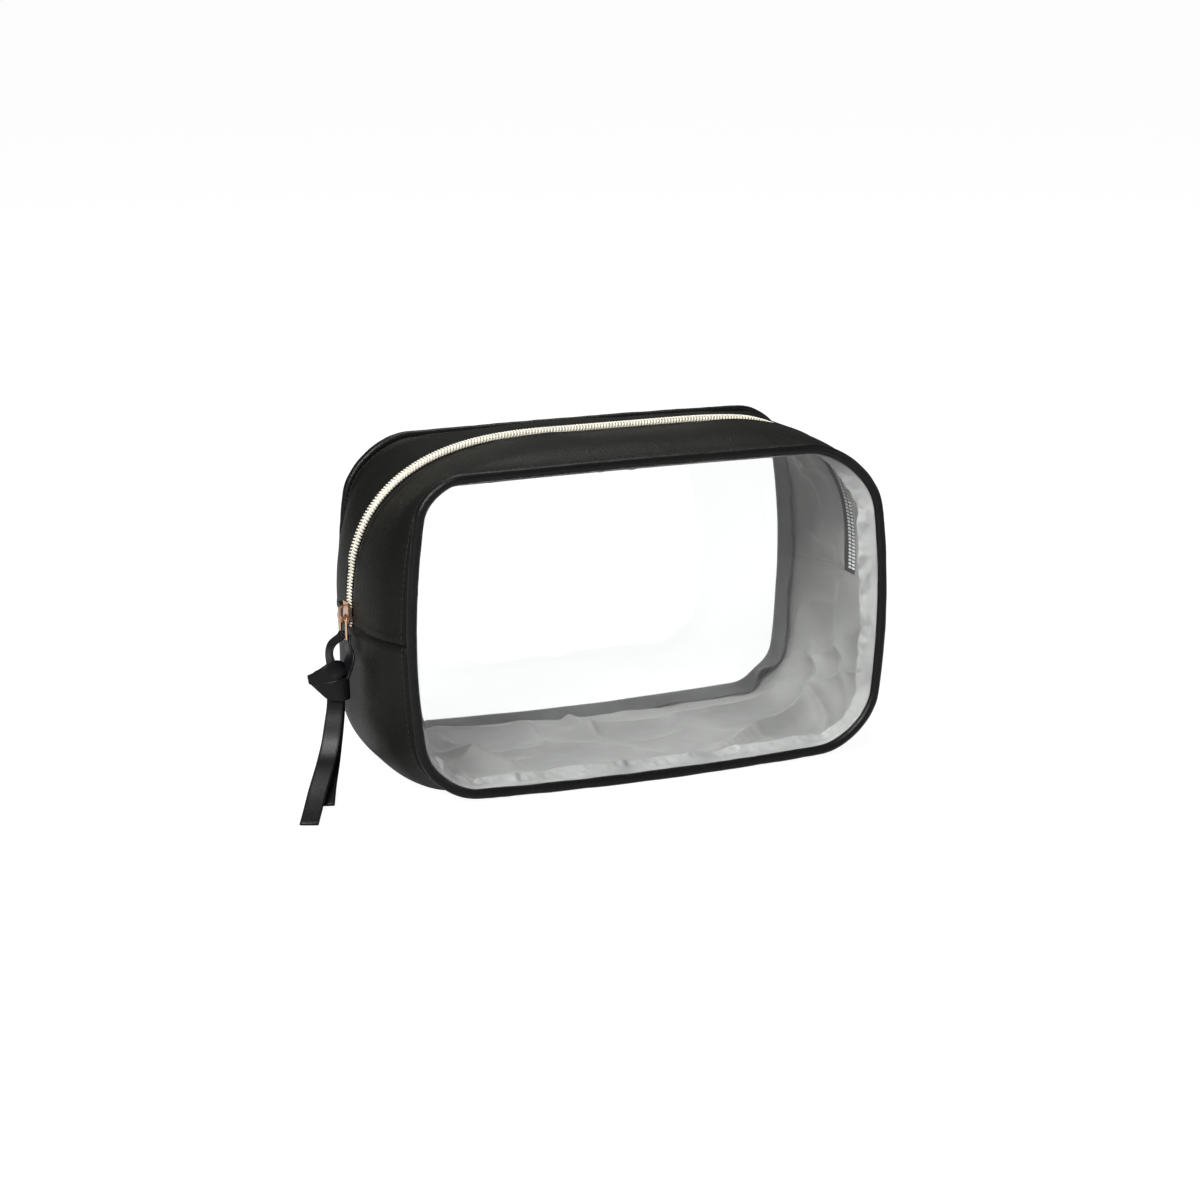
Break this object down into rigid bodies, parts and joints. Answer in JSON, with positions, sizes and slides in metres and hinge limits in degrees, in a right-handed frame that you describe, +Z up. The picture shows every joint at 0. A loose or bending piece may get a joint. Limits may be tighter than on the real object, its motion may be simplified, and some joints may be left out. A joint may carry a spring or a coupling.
{
  "type": "makeup bag",
  "caption": "Boxy makeup bag with clear front and back windows in piping, a dark gusset, a zipper over the top and a knotted strap on its slider.",
  "frame": {"origin": "on the surface that the bag stands on, under the middle of its gusset", "axes": "+X along the bag's width, away from the slider; +Y to its back; +Z up"},
  "size_m": [0.3063, 0.1131, 0.1609],
  "materials": {
    "leather": "satin, fine pebble grain",
    "clear_vinyl": "gloss",
    "filler_cord": "matt",
    "lining": "satin polyester",
    "binding": "satin polyester",
    "zip_tape": "matt woven tape",
    "zip_coil": "champagne gold plating",
    "rose_gold": "rose gold plating",
    "strap": "smooth satin"
  },
  "bodies": {
    "bag": {"front_window_lower": "clear_vinyl", "front_piping_lower": "leather", "front_filler_lower": "filler_cord", "front_binding_lower": "binding", "gusset_bottom": "leather", "lining_bottom": "lining", "back_window": "clear_vinyl", "back_piping": "leather", "back_filler": "filler_cord", "back_binding": "binding", "gusset_back_upper": "leather", "lining_back_upper": "lining", "zip_tape_back": "zip_tape", "zip_coil_back": "zip_coil", "zip_end_stop": "zip_coil", "seam_tab": "leather"},
    "front_flap": {"front_window_upper": "clear_vinyl", "front_piping_upper": "leather", "front_filler_upper": "filler_cord", "front_binding_upper": "binding", "gusset_front_upper": "leather", "lining_front_upper": "lining", "zip_tape_front": "zip_tape", "zip_coil_front": "zip_coil"},
    "slider": {"slider": "rose_gold"},
    "pull_ring": {"pull_ring": "rose_gold"},
    "strap": {"strap_loop": "strap", "strap_knot": "strap", "strap_tail_front": "strap", "strap_tail_rear": "strap"}
  },
  "joints": [
    {"name": "front_fold", "type": "hinge", "parent": "bag", "child": "front_flap", "pos_m": [0, -0.0554, 0.0765], "axis": [1, 0, 0], "range_deg": [0, 25]},
    {"name": "zip_slide", "type": "slide", "parent": "bag", "child": "slider", "axis": [0, 0, 1], "range_m": [0, 0.014]},
    {"name": "ring_swing", "type": "hinge", "parent": "slider", "child": "pull_ring", "pos_m": [-0.1346, 0, 0.08015], "axis": [0, 1, 0], "range_deg": [0, 100]},
    {"name": "strap_swing", "type": "hinge", "parent": "pull_ring", "child": "strap", "pos_m": [-0.1346, 0, 0.07115], "axis": [0, 1, 0], "range_deg": [0, 60]}
  ]
}
